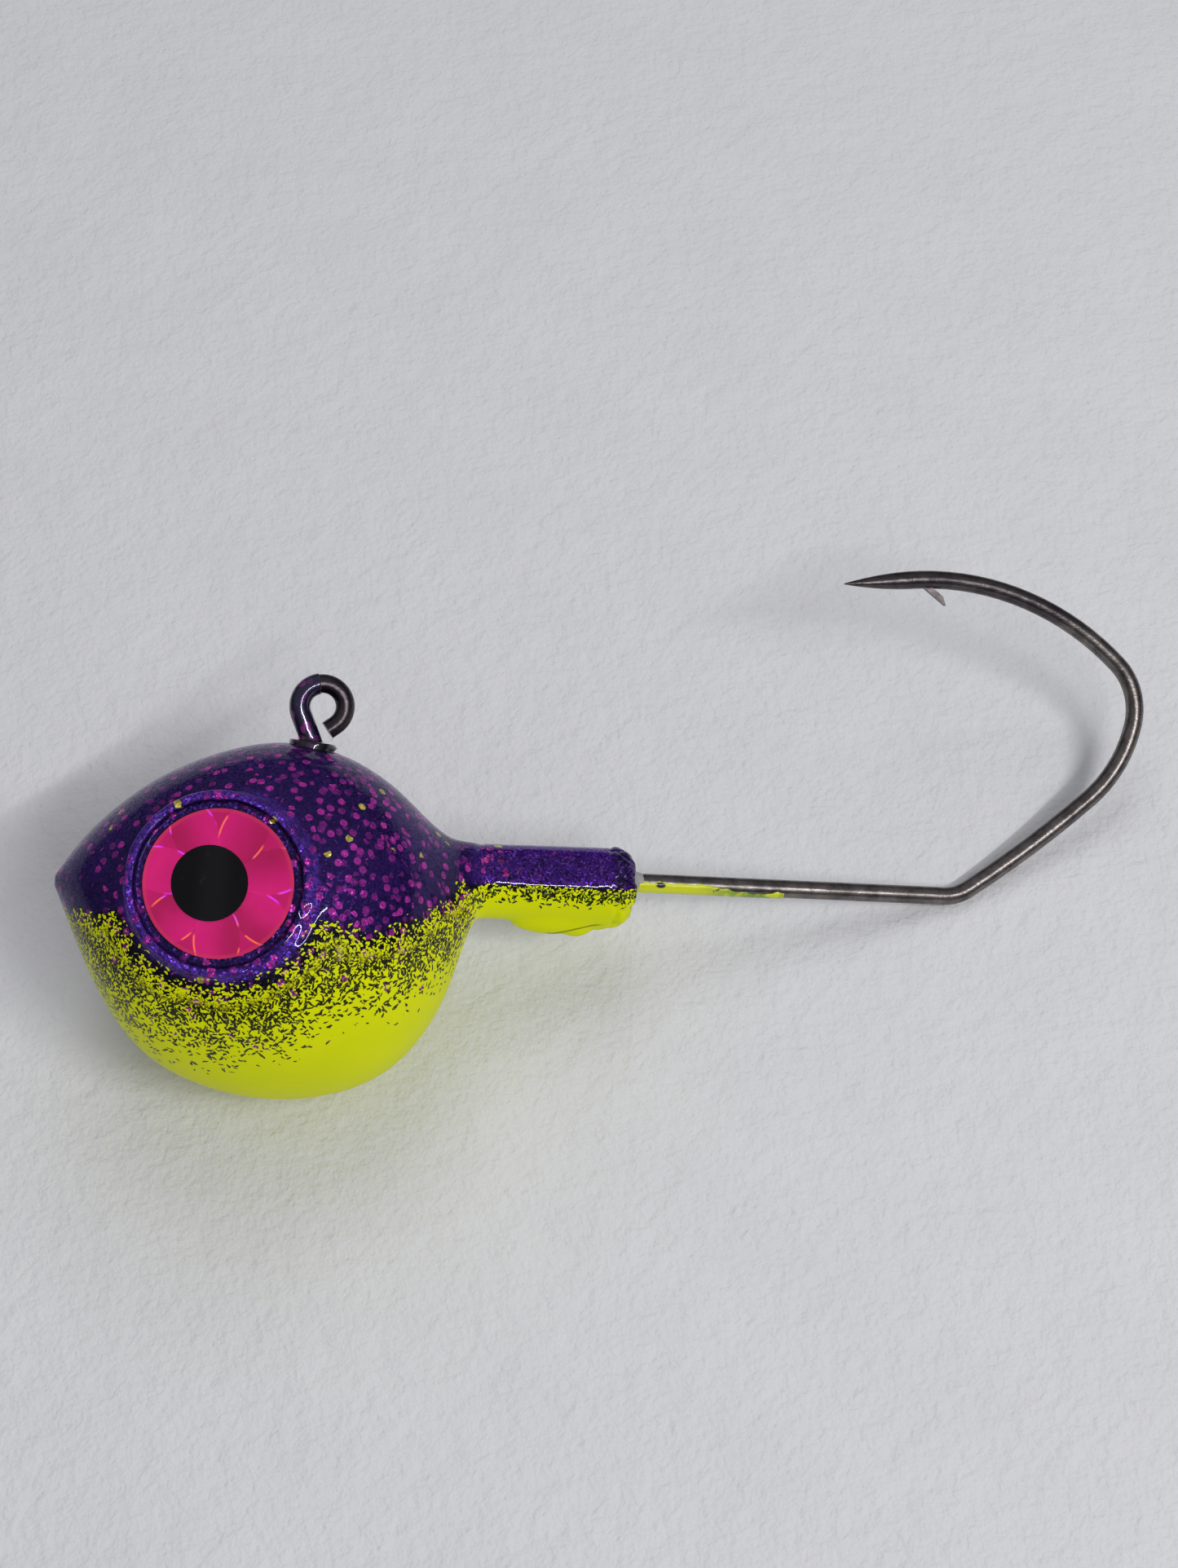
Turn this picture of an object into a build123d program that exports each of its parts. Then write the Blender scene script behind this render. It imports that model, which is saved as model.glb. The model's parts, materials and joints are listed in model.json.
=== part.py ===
from build123d import *
import math
import os

os.makedirs("parts", exist_ok=True)

# A lead jig head cast on a bent-wire hook, powder coated in two colours, with stick-on eyes.
# It is drawn in its own upright frame in millimetres: X runs back along the hook's shank from
# the nose, Y across, and Z up towards the line eye, with the shank's axis at Y = Z = 0.
# At the end every piece is laid down as the jig lies on a table, on one flank.

# ---- hook wire
wire_r = 0.465
loop_x, loop_z = 12.4, 7.98
loop_r = 1.12
loop_lean = 24.0            # the stem's lean from upright, its top towards the nose
loop_gap = 53.0             # below level, where the loop runs straight to its cut end
loop_end_run = 0.45
stem_bend_r = 2.2
knee_x = 46.0
# each stretch of the bend after the shank: radius, and turn in degrees towards the point
bend_arcs = [(2.3, 34.4), (59.6, 7.9), (7.0, 38.1), (3.4, 58.5), (15.3, 25.8), (14.7, 22.4)]
# the ground point: distance along it, and radius there
point_sections = [(0.0, wire_r), (1.2, 0.41), (2.5, 0.25), (3.65, 0.03)]
hook_gap_x, hook_gap_z = 45.0, 8.0
barb_root_x, barb_root_z = 43.0, 15.95
barb_length = 1.55
barb_angle = 35.0           # between the barb's cut side and level
barb_height = 0.5
barb_t = 0.36

# ---- head: cross-sections from the nose back, as x, top, bottom and half width
head_sections = [
    (0.0, -0.9, -1.4, 0.28),
    (0.35, -0.35, -2.2, 1.15),
    (1.2, 0.88, -4.15, 2.75),
    (2.7, 2.5, -7.0, 4.5),
    (4.8, 4.12, -9.42, 5.95),
    (7.4, 5.38, -10.78, 6.95),
    (10.8, 6.1, -11.42, 7.5),
    (14.0, 5.45, -11.05, 7.0),
    (16.3, 4.1, -10.02, 5.95),
    (18.0, 2.62, -8.3, 4.55),
    (19.1, 1.86, -6.3, 3.3),
    (19.8, 1.68, -4.2, 2.45),
    (20.3, 1.63, -2.75, 2.05),
    (20.9, 1.56, -2.08, 1.82),
]
coat_t = 0.12

# ---- collar behind the head, and the keeper nub under it
collar_r = 1.86             # at the head, and widening slightly to the land
collar_land_r = 1.94        # the plain round stretch behind the nub
collar_z = -0.26
collar_start = 20.3
collar_land_start = 26.6
collar_end = 28.5
collar_round = 0.85
cast_draft = 1.5            # the bare lead's taper in degrees under the land
nub_centre = (24.45, 0.0, -1.95)
nub_half = (2.2, 0.95, 0.84)

# ---- eye sockets and stick-on eyes, one on each flank
eye_x, eye_z = 7.42, -0.43
socket_floor_y = 6.05
socket_cant = 10.0          # turned towards the nose
socket_tilt = 8.0           # and up
socket_depth = 3.0          # how far the recess is cut out through the flank
boss_root = 2.0             # how far the rim's boss is rooted in the head
rim_r = 4.42
rim_height = 0.4
rim_round = 0.18
recess_r = 3.9
glue_r, glue_t = 3.3, 0.1
film_r, film_t = 3.5, 0.12
pupil_r, pupil_t = 1.78, 0.04
pupil_forward = 0.4

# ---- paint
head_paint_line_z = -3.9    # where the two coats meet on the head, lower than on the collar
paint_line_step_x = 19.7    # where it steps up to the collar's middle
room_reach = 40.0           # past every side of the head
wire_paint_t = 0.06
loop_paint_top = 100.0      # how far round the line eye its paint reaches, from the back
skirt_x, skirt_z = 12.05, 5.95
skirt_half = (1.2, 1.05, 0.26)
drip_length = 4.4
meniscus_r = 0.88
meniscus_length = 0.7

# ---- how it lies: rolled onto one flank, and pitched until the hook's knee touches
# the head rests on a small flat, at this distance below the shank's axis at the nose
roll = -54.8
pitch = 14.2
rest_drop = 11.694
turned = Rot(0, pitch, 0) * Rot(roll, 0, 0)

sides = {"left": -1, "right": 1}


def in_profile(x, z):
    """A point of the jig's middle plane."""
    return Vector(x, 0, z)


def heading(degrees):
    """A direction in the middle plane: 0 is back along the shank, 90 is up."""
    angle = math.radians(degrees)
    return Vector(math.cos(angle), 0, math.sin(angle))


def socket_plane(side, height):
    """The plane at a height above one eye socket's floor, facing out, with X to the nose."""
    cant, tilt = math.radians(socket_cant), math.radians(socket_tilt)
    out = Vector(-math.sin(cant) * math.cos(tilt), side * math.cos(cant) * math.cos(tilt), math.sin(tilt))
    floor = Vector(eye_x, side * socket_floor_y, eye_z)
    return Plane(origin=floor + out * height, x_dir=(-1, 0, 0), z_dir=out)


def rest_plane(height):
    """The plane at a height above the table, facing up, in the jig's upright frame."""
    return Plane(turned.inverse() * Pos(0, 0, height - rest_drop))


def lump(centre, half, grow):
    """An ellipsoid, for a drop of lead or paint."""
    return Pos(*centre) * scale(Sphere(1), by=tuple(size + grow for size in half))


def socket_boss(side, grow):
    """The raised round rim of one eye socket, before the recess is cut in it."""
    with BuildPart() as boss:
        with BuildSketch(socket_plane(side, -boss_root)):
            Circle(rim_r + grow)
        extrude(amount=boss_root + rim_height + grow)
        outer_edge = boss.edges().filter_by(GeomType.CIRCLE).sort_by(Axis.Y)[::side][-1]
        fillet(outer_edge, rim_round)
    return boss.part


def head_shape(grow, draft):
    """The head with its collar, nub and eye sockets, grown outwards by a coat's thickness."""
    extras = [lump(nub_centre, nub_half, grow)]
    extras += [socket_boss(side, grow) for side in sides.values()]
    with BuildPart() as shape:
        for x, top, bottom, half_width in head_sections:
            station = x if x else -grow
            middle = in_profile(station, (top + bottom) / 2)
            with BuildSketch(Plane(origin=middle, x_dir=(0, 1, 0), z_dir=(1, 0, 0))):
                Ellipse(half_width + grow, (top - bottom) / 2 + grow)
        loft()
        for x, radius in ((collar_start, collar_r), (collar_land_start, collar_land_r)):
            with BuildSketch(Plane(origin=(x, 0, collar_z), z_dir=(1, 0, 0))):
                Circle(radius + grow)
        loft()
        with BuildSketch(Plane(origin=(collar_land_start, 0, collar_z), z_dir=(1, 0, 0))):
            Circle(collar_land_r + grow)
        extrude(amount=collar_end - collar_land_start + grow, taper=draft)
        end_edge = shape.edges().filter_by(GeomType.CIRCLE).sort_by(Axis.X)[-1]
        fillet(end_edge, collar_round + grow)
        add(extras)
        for side in sides.values():
            with BuildSketch(socket_plane(side, grow)):
                Circle(recess_r - grow)
            extrude(amount=socket_depth, mode=Mode.SUBTRACT)
        split(bisect_by=rest_plane(-grow), keep=Keep.TOP)
    return shape.part


# ---- hook: one wire from the line eye's cut end, through the lead, to the point
loop_middle = in_profile(loop_x, loop_z)
loop_end = loop_middle + heading(-loop_gap) * loop_r
cut_heading = heading(-loop_gap - 90)
cut_end = loop_end + cut_heading * loop_end_run
stem_top = loop_middle + heading(180 + loop_lean) * loop_r
stem_heading = heading(loop_lean - 90)
stem_corner = stem_top + stem_heading * (stem_top.Z / math.cos(math.radians(loop_lean)))
stem_inset = stem_bend_r * math.tan(math.radians((90 - loop_lean) / 2))
stem_end = stem_corner - stem_heading * stem_inset
shank_start = stem_corner + heading(0) * stem_inset
stem_bend_middle = shank_start + heading(90) * stem_bend_r + heading(180 + (90 + loop_lean) / 2) * stem_bend_r
knee_inset = bend_arcs[0][0] * math.tan(math.radians(bend_arcs[0][1] / 2))
shank_end = in_profile(knee_x - knee_inset, 0)


def arc_step(start, angle, radius, turn):
    """The middle and end of an arc that leaves start at a heading and turns upwards."""
    hub = start + heading(angle + 90) * radius
    return hub + heading(angle - 90 + turn / 2) * radius, hub + heading(angle - 90 + turn) * radius


with BuildPart() as hook:
    with BuildLine() as stem_path:
        Line(cut_end, loop_end)
        ThreePointArc(loop_end, loop_middle + heading(90) * loop_r, stem_top)
        Line(stem_top, stem_end)
        ThreePointArc(stem_end, stem_bend_middle, shank_start)
    with BuildSketch(Plane(origin=cut_end, z_dir=-cut_heading)):
        Circle(wire_r)
    sweep(path=stem_path.line)
    with BuildLine() as bend_path:
        arc_start, angle = shank_end, 0.0
        for radius, turn in bend_arcs:
            arc_middle, arc_end = arc_step(arc_start, angle, radius, turn)
            ThreePointArc(arc_start, arc_middle, arc_end)
            arc_start, angle = arc_end, angle + turn
    with BuildSketch(Plane(origin=shank_end, z_dir=(1, 0, 0))):
        Circle(wire_r)
    sweep(path=bend_path.line)
    with BuildSketch(Plane(origin=shank_start, z_dir=(1, 0, 0))):
        Circle(wire_r)
    extrude(amount=shank_end.X - shank_start.X)
    for along, radius in point_sections:
        with BuildSketch(Plane(origin=arc_start + heading(angle) * along, z_dir=heading(angle))):
            Circle(radius)
    loft()
    barb_root = in_profile(barb_root_x, barb_root_z)
    with BuildSketch(Plane.XZ):
        with BuildLine():
            barb_tip = barb_root + heading(-barb_angle) * barb_length
            barb_back = barb_tip + heading(180 - 2 * barb_angle) * barb_height
            corners = [barb_root, barb_tip, barb_back, barb_root + heading(0) * barb_height]
            Polyline([(corner.X, corner.Z) for corner in corners], close=True)
        make_face()
    extrude(amount=barb_t / 2, both=True)

# ---- lead and its two coats
cast_shape = head_shape(-coat_t, cast_draft)
coated_shape = head_shape(0, 0)

with BuildPart() as lead_head:
    add(cast_shape)
    add(hook.part, mode=Mode.SUBTRACT)


def room_beside_line(far_z):
    """All the room above or below the line where the coats meet, out to a height."""
    with BuildPart() as room:
        with BuildSketch(Plane.XZ):
            with BuildLine():
                Polyline(
                    (-room_reach, far_z),
                    (room_reach, far_z),
                    (room_reach, collar_z),
                    (paint_line_step_x, collar_z),
                    (paint_line_step_x, head_paint_line_z),
                    (-room_reach, head_paint_line_z),
                    close=True,
                )
            make_face()
        extrude(amount=room_reach, both=True)
    return room.part


room_above = room_beside_line(room_reach)
room_below = room_beside_line(-room_reach)

with BuildPart() as chartreuse_coat:
    add(coated_shape)
    add([cast_shape, hook.part, room_above], mode=Mode.SUBTRACT)

with BuildPart() as purple_coat:
    add(coated_shape)
    add([cast_shape, hook.part, room_below], mode=Mode.SUBTRACT)

# ---- paint on the wire
paint_skirt = lump((skirt_x, 0, skirt_z), skirt_half, 0)

with BuildPart() as line_eye_paint:
    paint_top = loop_middle + heading(loop_paint_top) * loop_r
    paint_side = loop_middle + heading((loop_paint_top + 180 + loop_lean) / 2) * loop_r
    with BuildLine() as paint_path:
        ThreePointArc(paint_top, paint_side, stem_top)
        Line(stem_top, stem_end)
    with BuildSketch(Plane(origin=paint_top, z_dir=heading(loop_paint_top + 90))):
        Circle(wire_r + wire_paint_t)
    sweep(path=paint_path.line)
    add(paint_skirt)
    add([coated_shape, hook.part], mode=Mode.SUBTRACT)

with BuildPart() as shank_meniscus:
    with BuildSketch(Plane.XZ):
        with BuildLine():
            Polyline(
                (collar_end, wire_r),
                (collar_end, meniscus_r),
                (collar_end + meniscus_length, wire_r),
                close=True,
            )
        make_face()
    revolve(axis=Axis.X)

with BuildPart() as shank_paint:
    with BuildSketch(Plane(origin=(collar_end + meniscus_length, 0, 0), x_dir=(0, 1, 0), z_dir=(1, 0, 0))):
        Circle(wire_r + wire_paint_t)
        Circle(wire_r, mode=Mode.SUBTRACT)
        half_span = wire_r + wire_paint_t
        with Locations((0, half_span / 2)):
            Rectangle(2 * half_span, half_span, mode=Mode.SUBTRACT)
    extrude(amount=drip_length)

pieces = {
    "hook": hook,
    "lead_head": lead_head,
    "purple_coat": purple_coat,
    "chartreuse_coat": chartreuse_coat,
    "line_eye_paint": line_eye_paint,
    "shank_meniscus": shank_meniscus,
    "shank_paint": shank_paint,
}

# ---- stick-on eyes: a foam glue pad, a foil disc and its printed pupil, on each flank
for name, side in sides.items():
    with BuildPart() as eye_adhesive:
        with BuildSketch(socket_plane(side, 0)):
            Circle(glue_r)
        extrude(amount=glue_t)
    with BuildPart() as eye_film:
        with BuildSketch(socket_plane(side, glue_t)):
            Circle(film_r)
        extrude(amount=film_t)
    with BuildPart() as eye_pupil:
        with BuildSketch(socket_plane(side, glue_t + film_t)):
            with Locations((pupil_forward, 0)):
                Circle(pupil_r)
        extrude(amount=pupil_t)
    pieces[f"{name}_eye_adhesive"] = eye_adhesive
    pieces[f"{name}_eye_film"] = eye_film
    pieces[f"{name}_eye_pupil"] = eye_pupil

# ---- lay the jig down, with the middle of its footprint at the origin
bounds = Compound([piece.part.moved(turned) for piece in pieces.values()]).bounding_box()
centre = bounds.center()
lying = Pos(-centre.X, -centre.Y, -bounds.min.Z) * turned

for name, piece in pieces.items():
    piece.part.move(lying)
    piece.part.label = name
    export_step(piece.part, f"parts/{name}.step")

# where a bait, a line and a trailer meet the jig, as it lies
print("size", bounds.size)
for interface, spot in {
    "collar land": in_profile((collar_land_start + collar_end - collar_round) / 2, collar_z),
    "bare shank": in_profile((collar_end + meniscus_length + shank_end.X) / 2, 0),
    "line eye": loop_middle,
    "middle of the hook gap": in_profile(hook_gap_x, hook_gap_z),
}.items():
    print(interface, (lying * Pos(spot)).position)
for direction in (heading(0), heading(90), Vector(0, 1, 0)):
    print("local", direction, "lies along", (lying * Pos(direction)).position - lying.position)
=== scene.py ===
import json
import math

import bmesh
import bpy
import numpy as np
from mathutils import Matrix, Quaternion, Vector, noise


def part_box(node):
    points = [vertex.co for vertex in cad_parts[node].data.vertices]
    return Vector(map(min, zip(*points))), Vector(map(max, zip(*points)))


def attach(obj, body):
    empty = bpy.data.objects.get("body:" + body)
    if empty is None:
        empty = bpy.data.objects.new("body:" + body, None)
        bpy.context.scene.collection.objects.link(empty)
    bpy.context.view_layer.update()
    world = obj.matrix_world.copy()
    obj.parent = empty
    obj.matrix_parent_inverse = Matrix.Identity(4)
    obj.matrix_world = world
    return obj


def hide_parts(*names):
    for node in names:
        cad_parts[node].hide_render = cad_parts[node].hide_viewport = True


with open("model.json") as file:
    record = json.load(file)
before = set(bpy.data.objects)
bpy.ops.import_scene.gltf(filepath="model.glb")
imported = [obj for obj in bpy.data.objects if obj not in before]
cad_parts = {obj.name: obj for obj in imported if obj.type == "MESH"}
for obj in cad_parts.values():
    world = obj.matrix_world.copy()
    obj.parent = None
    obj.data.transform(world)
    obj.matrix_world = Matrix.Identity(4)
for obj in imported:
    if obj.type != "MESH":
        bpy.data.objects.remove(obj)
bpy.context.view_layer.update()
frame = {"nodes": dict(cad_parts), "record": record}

# A painted jig head on a pale floor. Shapes are drawn in the jig's own upright frame in millimetres, as in
# the CAD: X runs back along the shank from the nose, Y across, Z up to the line eye, the shank at Y = Z = 0.

MM = 0.001

# ---- sizes of the jig that the looks follow, in its own frame
MOUNT_AT = Vector((27.125, 0.0, -0.26))     # where the record's collar mount is
WIRE_R = 0.465
COLLAR_END = 28.5
COLLAR_Z = -0.26
SHANK_BEND_START = 13.5
STEM_TOP = Vector((12.2, 0.0, 5.9))
EYE_X, EYE_Z = 7.42, -0.43
SOCKET_CANT, SOCKET_TILT = 10.0, 8.0
RIM_R, RECESS_R = 4.42, 3.9
FILM_R = 3.5
SIDES = {"left": -1, "right": 1}

# ---- camera: where it looks, from where, and how it leans
LOOK_AT = Vector((-1.66, 7.33, 0.0)) * MM
CAMERA_AZIMUTH, CAMERA_ELEVATION, CAMERA_ROLL = -0.74, 58.0, -3.98
CAMERA_DISTANCE = 132.3 * MM
LENS, SENSOR = 55.95, 36.0


def direction(azimuth, elevation):
    """Towards a place round the object: azimuth 0 is in front, at -Y, and 90 at +X."""
    around, up = math.radians(azimuth), math.radians(elevation)
    return Vector((math.sin(around) * math.cos(up), -math.cos(around) * math.cos(up), math.sin(up)))


def link(thing):
    bpy.context.scene.collection.objects.link(thing)
    return thing


camera = link(bpy.data.objects.new("camera", bpy.data.cameras.new("camera")))
camera.data.lens, camera.data.sensor_width = LENS, SENSOR
camera.data.clip_start, camera.data.clip_end = 0.002, 10.0
camera.rotation_mode = "QUATERNION"
towards_camera = direction(CAMERA_AZIMUTH, CAMERA_ELEVATION)
camera.location = LOOK_AT + towards_camera * CAMERA_DISTANCE
level = (-towards_camera).to_track_quat("-Z", "Y")
camera.rotation_quaternion = level @ Quaternion((0, 0, 1), math.radians(CAMERA_ROLL))
bpy.context.scene.camera = camera

# ---- the jig's own frame, from the record's mounts
mounts = {mount["name"]: mount for mount in frame["record"]["mounts"]}
along = Vector(mounts["collar"]["axis"]).normalized()
across = Vector(mounts["line_eye"]["axis"]).normalized()
upright = along.cross(across)
ROW_TO_JIG = Matrix((along, across, upright))
JIG_SHIFT = MOUNT_AT - ROW_TO_JIG @ (Vector(mounts["collar"]["pos_m"]) / MM)


def to_jig(points):
    """Row-frame metres to the jig's own millimetres, for an array of points."""
    return points / MM @ np.array(ROW_TO_JIG).T + np.array(JIG_SHIFT)


def to_row(points):
    """The jig's own millimetres to row-frame metres, for an array of points."""
    return (points - np.array(JIG_SHIFT)) @ np.array(ROW_TO_JIG) * MM


def socket_out(side):
    """The way one eye faces, in the jig's frame."""
    cant, tilt = math.radians(SOCKET_CANT), math.radians(SOCKET_TILT)
    return Vector((-math.sin(cant) * math.cos(tilt), side * math.cos(cant) * math.cos(tilt), math.sin(tilt)))


def film_middle(name):
    """The middle of one eye's film, in the jig's frame."""
    low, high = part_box(f"{name}_eye_film")
    return Vector(to_jig(np.array([(low + high) / 2]))[0])


# ---------------------------------------------------------------- materials
MIX_FIRST, MIX_SECOND, MIX_RESULT = 6, 7, 2      # the colour sockets of a Mix node


class Graph:
    """A material's nodes. Its spot is the point in the material's own frame, in millimetres."""

    def __init__(self, name, turn=ROW_TO_JIG, shift=JIG_SHIFT):
        self.material = bpy.data.materials.new(name)
        self.material.use_nodes = True
        self.nodes = self.material.node_tree.nodes
        self.shader = self.nodes["Principled BSDF"]
        self.turn = turn.to_euler("XYZ")
        coords = self.new("ShaderNodeTexCoord")
        placing = self.new("ShaderNodeMapping", Vector=coords.outputs["Object"])
        placing.inputs["Scale"].default_value = (1 / MM,) * 3
        placing.inputs["Rotation"].default_value = self.turn
        placing.inputs["Location"].default_value = shift
        self.spot = placing.outputs["Vector"]
        turning = self.new("ShaderNodeMapping", {"vector_type": "VECTOR"},
                           Vector=self.new("ShaderNodeNewGeometry").outputs["Normal"])
        turning.inputs["Rotation"].default_value = self.turn
        self.normal = turning.outputs["Vector"]
        axes = self.new("ShaderNodeSeparateXYZ", Vector=self.spot).outputs
        self.x, self.y, self.z = axes["X"], axes["Y"], axes["Z"]

    def put(self, socket, value):
        if isinstance(value, bpy.types.NodeSocket):
            self.material.node_tree.links.new(value, socket)
        else:
            socket.default_value = value

    def new(self, kind, settings=None, **inputs):
        node = self.nodes.new(kind)
        for key, value in (settings or {}).items():
            setattr(node, key, value)
        for key, value in inputs.items():
            self.put(node.inputs[key], value)
        return node

    def math(self, operation, *values):
        node = self.new("ShaderNodeMath", {"operation": operation})
        for socket, value in zip(node.inputs, values):
            self.put(socket, value)
        return node.outputs[0]

    def vector(self, operation, *values):
        node = self.new("ShaderNodeVectorMath", {"operation": operation})
        for socket, value in zip(node.inputs, values):
            self.put(socket, value)
        return node.outputs["Value" if operation in ("DOT_PRODUCT", "LENGTH") else "Vector"]

    def times(self, vector, amount):
        node = self.new("ShaderNodeVectorMath", {"operation": "SCALE"}, Vector=vector, Scale=amount)
        return node.outputs["Vector"]

    def fade(self, value, low, high, start=0.0, end=1.0):
        """From start to end, smoothly, as the value goes from low to high."""
        node = self.new("ShaderNodeMapRange", {"interpolation_type": "SMOOTHSTEP"})
        for socket, setting in zip(node.inputs, (value, low, high, start, end)):
            self.put(socket, setting)
        return node.outputs[0]

    def mix(self, factor, first, second, blend="MIX"):
        node = self.new("ShaderNodeMix", {"data_type": "RGBA", "blend_type": blend})
        self.put(node.inputs["Factor"], factor)
        self.put(node.inputs[MIX_FIRST], first)
        self.put(node.inputs[MIX_SECOND], second)
        return node.outputs[MIX_RESULT]

    def noise(self, size, detail=3.0, roughness=0.5, where=None):
        """Noise whose lumps are about size millimetres across."""
        node = self.new("ShaderNodeTexNoise", Vector=where or self.spot, Scale=1 / size, Detail=detail,
                        Roughness=roughness)
        return node.outputs["Fac"]

    def cells(self, size, seed=0.0):
        """Scattered points: the offset from the nearest one, and its own random number and colour."""
        moved = self.vector("ADD", self.spot, (seed, seed * 1.7, seed * 2.3))
        nearest = self.new("ShaderNodeTexVoronoi", Vector=moved, Scale=1 / size).outputs["Position"]
        lot = self.new("ShaderNodeTexWhiteNoise", {"noise_dimensions": "3D"}, Vector=nearest)
        return self.vector("SUBTRACT", moved, nearest), lot.outputs["Value"], lot.outputs["Color"]

    def flat(self, vector):
        """A vector without its part along the surface's normal."""
        rise = self.vector("DOT_PRODUCT", vector, self.normal)
        return self.vector("SUBTRACT", vector, self.times(self.normal, rise))

    def centred(self, colour):
        """A random colour as a vector that points any way."""
        return self.vector("SUBTRACT", colour, (0.5, 0.5, 0.5))

    def dots(self, size, radius, seed):
        """Round spots lying in the surface: their mask, random number and colour."""
        offset, lot, tint = self.cells(size, seed)
        reach = self.vector("LENGTH", self.flat(offset))
        return self.fade(reach, radius * 1.06, radius * 0.9), lot, tint

    def strokes(self, size, length, width, seed):
        """Short tapered, slightly bent strokes lying in the surface every way: mask and random number."""
        offset, lot, tint = self.cells(size, seed)
        bend = self.new("ShaderNodeTexNoise", Vector=self.spot, Scale=3.2, Detail=1.0).outputs["Color"]
        offset = self.vector("ADD", offset, self.times(self.centred(bend), 0.28))
        aim = self.vector("NORMALIZE", self.flat(self.centred(tint)))
        lying = self.flat(offset)
        run = self.math("MULTIPLY", self.vector("DOT_PRODUCT", lying, aim), 2 / length)
        off = self.vector("LENGTH", self.vector("CROSS_PRODUCT", lying, aim))
        shape = self.math("ADD", self.math("MULTIPLY", off, 2 / width), self.math("MULTIPLY", run, run))
        return self.fade(shape, 1.35, 0.75), lot

    def both(self, first, second):
        return self.math("MULTIPLY", first, second)

    def either(self, first, second):
        return self.math("MAXIMUM", first, second)

    def rest(self, share):
        """What a share leaves of one."""
        return self.math("SUBTRACT", 1.0, share)

    def bump(self, height, depth, under=None):
        """A bump of a depth in millimetres where height is 1."""
        node = self.new("ShaderNodeBump", Height=height, Distance=depth * MM)
        if under is not None:
            self.put(node.inputs["Normal"], under)
        return node.outputs["Normal"]

    def finish(self, **sockets):
        for key, value in sockets.items():
            self.put(self.shader.inputs[key.replace("_", " ")], value)
        return self.material


PURPLE = (0.034, 0.012, 0.140, 1.0)
PURPLE_DEEP = (0.008, 0.004, 0.034, 1.0)
# a lighter purple: the painted highlight on the socket rims' crests
PURPLE_RIDGE_HIGHLIGHT = (0.075, 0.028, 0.300, 1.0)
PURPLE_COLLAR = (0.066, 0.012, 0.270, 1.0)
INK = (0.006, 0.006, 0.012, 1.0)
CHARTREUSE = (0.640, 0.680, 0.001, 1.0)
CHARTREUSE_DEEP = (0.520, 0.590, 0.001, 1.0)
# how strongly the chartreuse gives off light: painted light standing in for its fluorescence
FLUORESCENT_GLOW = 0.13
OLIVE = (0.030, 0.040, 0.010, 1.0)
COAT_IOR = 1.30
MAGENTA = (0.400, 0.035, 0.330, 1.0)
MAGENTA_DEEP = (0.130, 0.016, 0.170, 1.0)
YELLOW_FLAKE = (0.520, 0.480, 0.090, 1.0)
# painted shade for the crease beside the nub
CREASE_SHADE = (0.03, 0.05, 0.01, 1.0)
NICKEL_DARK = (0.120, 0.106, 0.102, 1.0)
NICKEL_LIGHT = (0.240, 0.215, 0.205, 1.0)
NICKEL_RUBBED = (0.32, 0.26, 0.25, 1.0)
NICKEL_STAINED = (0.022, 0.014, 0.026, 1.0)
FOIL_DEEP = (0.52, 0.009, 0.115, 1.0)
FOIL_BRIGHT = (0.74, 0.011, 0.185, 1.0)
FOIL_RIM = (0.72, 0.040, 0.110, 1.0)
FACET_SHADES = ((0.90, 0.016, 0.250, 1.0), (0.42, 0.008, 0.075, 1.0))
GLINT_ORANGE = (1.0, 0.16, 0.05, 1.0)
GLINT_VIOLET = (0.75, 0.04, 1.0, 1.0)

# strokes where the two paints meet: spacing, length and width in millimetres, and a seed
DARK_STROKES = ((0.27, 0.42, 0.12, 21.0), (0.23, 0.34, 0.10, 37.0), (0.30, 0.50, 0.10, 53.0))
LIGHT_STROKES = ((0.20, 0.30, 0.10, 71.0), (0.25, 0.30, 0.11, 89.0), (0.17, 0.20, 0.10, 97.0))
HEAD_EDGE_Z = -2.3       # how low the solid purple reaches on the head
PURPLE_RING_R = 4.75     # and how far out round each eye
BORDER_SQUEEZE = 4.2     # how much narrower the speckled border is on the collar
POOL_MIDDLE = (12.15, 0, 5.95)


def flaked_purple(g, amount):
    """Glossy violet paint with round magenta flakes under its clear coat: colour and flake mask."""
    paint = g.mix(g.noise(2.6, 2.0), PURPLE_DEEP, PURPLE)
    mask_deep, lot, _ = g.dots(size=0.62, radius=0.17, seed=11.0)
    shown_deep = g.both(mask_deep, g.math("LESS_THAN", lot, g.both(amount, 0.55)))
    paint = g.mix(shown_deep, paint, MAGENTA_DEEP)
    mask, lot, tint = g.dots(size=0.58, radius=0.19, seed=3.0)
    shown = g.both(mask, g.math("LESS_THAN", lot, amount))
    level = g.new("ShaderNodeSeparateColor", Color=tint).outputs["Green"]
    flake = g.mix(g.fade(level, 0.0, 0.9), MAGENTA_DEEP, MAGENTA)
    flake = g.mix(g.math("GREATER_THAN", level, 0.975), flake, YELLOW_FLAKE)
    return g.mix(shown, paint, flake), g.either(shown, g.both(shown_deep, 0.5))


def purple_depth(g, on_collar, waver, eye_reach):
    """How far a point is below the solid purple, which rings each eye and rises to the collar's middle."""
    edge = g.fade(g.x, 15.5, 20.6, HEAD_EDGE_Z, COLLAR_Z)
    edge = g.math("ADD", edge, g.both(waver, g.fade(g.x, 17.0, 21.0, 1.0, 0.12)))
    outside_ring = g.math("SUBTRACT", g.math("ADD", eye_reach, g.both(waver, 0.25)), PURPLE_RING_R)
    below = g.math("MINIMUM", g.math("SUBTRACT", edge, g.z), outside_ring)
    return g.both(below, g.fade(on_collar, 0.0, 1.0, 1.0, BORDER_SQUEEZE))


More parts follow.
